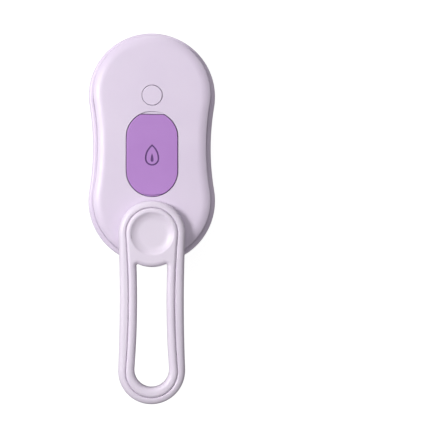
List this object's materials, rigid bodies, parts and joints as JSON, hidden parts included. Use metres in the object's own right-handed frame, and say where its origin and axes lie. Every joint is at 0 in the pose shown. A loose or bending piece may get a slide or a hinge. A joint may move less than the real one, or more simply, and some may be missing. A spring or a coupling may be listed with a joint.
{
  "type": "steam pet grooming brush",
  "caption": "Handheld steam grooming brush with a silicone nub pad, mist nozzle, water tank under a hinged lid, power button and a swivelling loop handle.",
  "frame": {"origin": "middle of the whole object's footprint, on the surface that the nub tips rest on", "axes": "+Z out of the button side, +Y towards the head end, away from the loop handle; the object is symmetric in X apart from small pieces inside"},
  "size_m": [0.065, 0.188, 0.044],
  "materials": {
    "casing_lavender": "fine satin moulded ABS",
    "handle_lavender": "soft satin moulded ABS",
    "lid_purple": "satin purple plastic",
    "pad_silicone": "translucent silicone with a soft sheen",
    "seal_silicone": "milky silicone",
    "ring_pale": "smooth pale plastic",
    "mist_steel": "thin perforated disc, warm reflection",
    "piezo_ceramic": "silvered ceramic",
    "tank_clear": "milky clear plastic",
    "board_green": "soldermask over glass laminate",
    "chip_black": "moulded epoxy",
    "led_milky": "diffusing resin",
    "socket_steel": "stamped steel",
    "screw_steel": "zinc plated",
    "cell_wrap": "shrink sleeve",
    "foam_dark": "adhesive foam",
    "lead_jacket": "soft wire jacket",
    "bush_acetal": "natural acetal",
    "washer_steel": "plain steel"
  },
  "bodies": {
    "casing": {"upper_casing": "casing_lavender", "lower_casing": "casing_lavender", "case_gasket": "seal_silicone", "case_screws": "screw_steel", "brush_pad": "pad_silicone", "nozzle_ring": "ring_pale", "disc_seal": "seal_silicone", "mist_mesh": "mist_steel", "mist_piezo_ring": "piezo_ceramic", "tank_shell": "tank_clear", "tank_seal": "seal_silicone", "tank_lid": "tank_clear", "filler_gasket": "seal_silicone", "button_membrane": "seal_silicone", "switch_body": "chip_black", "circuit_board": "board_green", "board_screws": "screw_steel", "usb_socket": "socket_steel", "control_chip": "chip_black", "charger_chip": "chip_black", "drive_coil": "chip_black", "status_led": "led_milky", "battery_cell": "cell_wrap", "battery_pad": "foam_dark", "battery_leads": "lead_jacket", "piezo_leads": "lead_jacket", "pivot_bush": "bush_acetal"},
    "handle": {"handle_frame": "handle_lavender", "handle_inlay": "handle_lavender", "pivot_washer": "washer_steel", "pivot_screw": "screw_steel"},
    "filler_lid": {"water_cap": "lid_purple", "cap_plug": "seal_silicone", "cap_strap": "lid_purple"},
    "button": {"power_button": "casing_lavender"},
    "plunger": {"switch_plunger": "chip_black"}
  },
  "joints": [
    {"name": "handle_swivel", "type": "hinge", "parent": "casing", "child": "handle", "pos_m": [0, -0.0095, 0.0364], "axis": [0, 0, 1], "range_deg": [-270, 90]},
    {"name": "lid_hinge", "type": "hinge", "parent": "casing", "child": "filler_lid", "pos_m": [0, 0.0093, 0.036], "axis": [1, 0, 0], "range_deg": [0, 95], "deforming": ["cap_strap"]},
    {"name": "button_press", "type": "slide", "parent": "casing", "child": "button", "axis": [0, 0, -1], "range_m": [0, 0.0006], "stiffness_N_per_m": 400, "springref_m": -0.0005, "deforming": ["button_membrane"]},
    {"name": "switch_travel", "type": "slide", "parent": "casing", "child": "plunger", "axis": [0, 0, -1], "range_m": [0, 0.0006]}
  ],
  "couplings": [
    {"joint": "switch_travel", "follows": "button_press", "ratio": 1}
  ]
}
